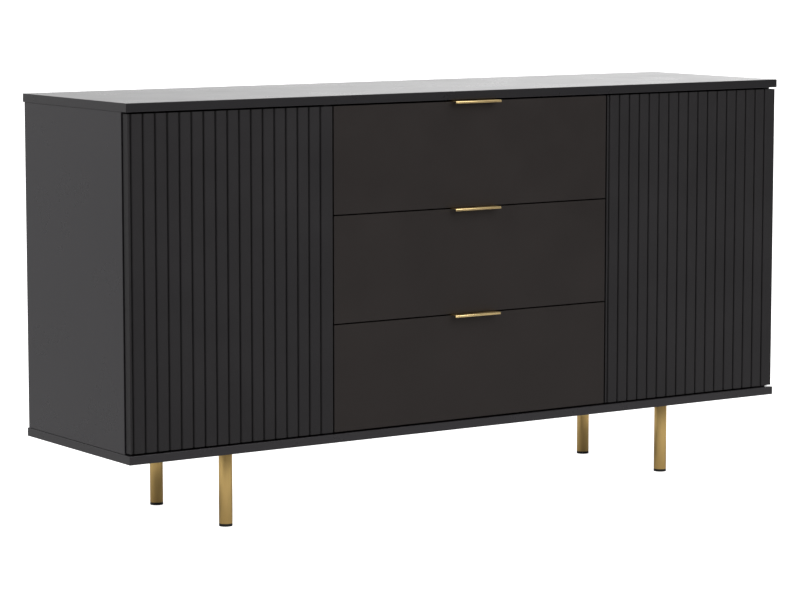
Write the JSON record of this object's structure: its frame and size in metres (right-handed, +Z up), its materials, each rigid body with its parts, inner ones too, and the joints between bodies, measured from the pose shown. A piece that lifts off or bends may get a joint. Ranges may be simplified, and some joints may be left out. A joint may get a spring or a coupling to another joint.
{
  "type": "sideboard buffet",
  "caption": "Long black sideboard with fluted push-to-open doors, a bank of drawers with gold edge pulls and round gold legs.",
  "frame": {"origin": "on the floor under the centre of the bounding box, pulls included", "axes": "+X to the right seen from the front, along the width; -Y to the front; +Z up"},
  "size_m": [1.5, 0.406, 0.788],
  "materials": {
    "black_board": "black melamine-faced chipboard, satin, fine grain emboss",
    "black_door": "matt black foil over fluted fibreboard",
    "black_drawer": "matt black foil over fibreboard",
    "drawer_box": "dark foil-wrapped board",
    "hardboard": "black lacquered hardboard",
    "beech": "plain fluted beech",
    "gold": "brushed gold, satin",
    "nickel": "nickel plated",
    "zinc": "bright zinc plated",
    "black_plastic": "matt black",
    "grey_plastic": "light grey moulded"
  },
  "bodies": {
    "carcass": {"top_panel": "black_board", "bottom_panel": "black_board", "side_left": "black_board", "side_right": "black_board", "partition_left": "black_board", "partition_right": "black_board", "back_left": "hardboard", "back_middle": "hardboard", "back_right": "hardboard", "shelf_left": "black_board", "shelf_right": "black_board", "shelf_pins": "nickel", "cam_locks": "zinc", "cam_bolts": "zinc", "dowels": "beech", "leg_front_left": "gold", "leg_front_right": "gold", "leg_back_left": "gold", "leg_back_right": "gold", "leg_plates": "gold", "leg_screws": "nickel", "foot_glides": "black_plastic", "hinge_plates": "nickel", "plate_screws": "zinc", "hinge_arms": "nickel", "cabinet_rails": "zinc", "latch_left": "grey_plastic", "latch_right": "grey_plastic"},
    "links_left": {"hinge_links_left": "nickel"},
    "links_right": {"hinge_links_right": "nickel"},
    "door_left": {"door_left": "black_door", "hinge_cups_left": "nickel", "strike_left": "zinc"},
    "door_right": {"door_right": "black_door", "hinge_cups_right": "nickel", "strike_right": "zinc"},
    "plunger_left": {"plunger_left": "black_plastic"},
    "plunger_right": {"plunger_right": "black_plastic"},
    "drawer_1": {"drawer_front_1": "black_drawer", "drawer_sides_1": "drawer_box", "drawer_back_1": "drawer_box", "drawer_bottom_1": "hardboard", "drawer_rails_1": "zinc", "pull_1": "gold"},
    "middle_rails_1": {"middle_rails_1": "zinc"},
    "drawer_2": {"drawer_front_2": "black_drawer", "drawer_sides_2": "drawer_box", "drawer_back_2": "drawer_box", "drawer_bottom_2": "hardboard", "drawer_rails_2": "zinc", "pull_2": "gold"},
    "middle_rails_2": {"middle_rails_2": "zinc"},
    "drawer_3": {"drawer_front_3": "black_drawer", "drawer_sides_3": "drawer_box", "drawer_back_3": "drawer_box", "drawer_bottom_3": "hardboard", "drawer_rails_3": "zinc", "pull_3": "gold"},
    "middle_rails_3": {"middle_rails_3": "zinc"}
  },
  "joints": [
    {"name": "door_left_link", "type": "hinge", "parent": "carcass", "child": "links_left", "pos_m": [-0.7135, -0.175, 0.4665], "axis": [0, 0, 1], "range_deg": [0, 20]},
    {"name": "door_left_hinge", "type": "hinge", "parent": "links_left", "child": "door_left", "pos_m": [-0.7355, -0.177, 0.4665], "axis": [0, 0, -1], "range_deg": [0, 115]},
    {"name": "door_right_link", "type": "hinge", "parent": "carcass", "child": "links_right", "pos_m": [0.7135, -0.175, 0.4665], "axis": [0, 0, -1], "range_deg": [0, 20]},
    {"name": "door_right_hinge", "type": "hinge", "parent": "links_right", "child": "door_right", "pos_m": [0.7355, -0.177, 0.4665], "axis": [0, 0, 1], "range_deg": [0, 115]},
    {"name": "drawer_1_slide", "type": "slide", "parent": "carcass", "child": "drawer_1", "axis": [0, -1, 0], "range_m": [0, 0.3]},
    {"name": "middle_1_slide", "type": "slide", "parent": "carcass", "child": "middle_rails_1", "axis": [0, -1, 0], "range_m": [0, 0.15]},
    {"name": "drawer_2_slide", "type": "slide", "parent": "carcass", "child": "drawer_2", "axis": [0, -1, 0], "range_m": [0, 0.3]},
    {"name": "middle_2_slide", "type": "slide", "parent": "carcass", "child": "middle_rails_2", "axis": [0, -1, 0], "range_m": [0, 0.15]},
    {"name": "drawer_3_slide", "type": "slide", "parent": "carcass", "child": "drawer_3", "axis": [0, -1, 0], "range_m": [0, 0.3]},
    {"name": "middle_3_slide", "type": "slide", "parent": "carcass", "child": "middle_rails_3", "axis": [0, -1, 0], "range_m": [0, 0.15]},
    {"name": "plunger_left_press", "type": "slide", "parent": "carcass", "child": "plunger_left", "axis": [0, 1, 0], "range_m": [0, 0.0025], "stiffness_N_per_m": 400, "springref_m": -0.02},
    {"name": "plunger_right_press", "type": "slide", "parent": "carcass", "child": "plunger_right", "axis": [0, 1, 0], "range_m": [0, 0.0025], "stiffness_N_per_m": 400, "springref_m": -0.02}
  ],
  "couplings": [
    {"joint": "door_left_link", "follows": "door_left_hinge", "ratio": 0.1739},
    {"joint": "door_right_link", "follows": "door_right_hinge", "ratio": 0.1739},
    {"joint": "middle_1_slide", "follows": "drawer_1_slide", "ratio": 0.5},
    {"joint": "middle_2_slide", "follows": "drawer_2_slide", "ratio": 0.5},
    {"joint": "middle_3_slide", "follows": "drawer_3_slide", "ratio": 0.5}
  ]
}
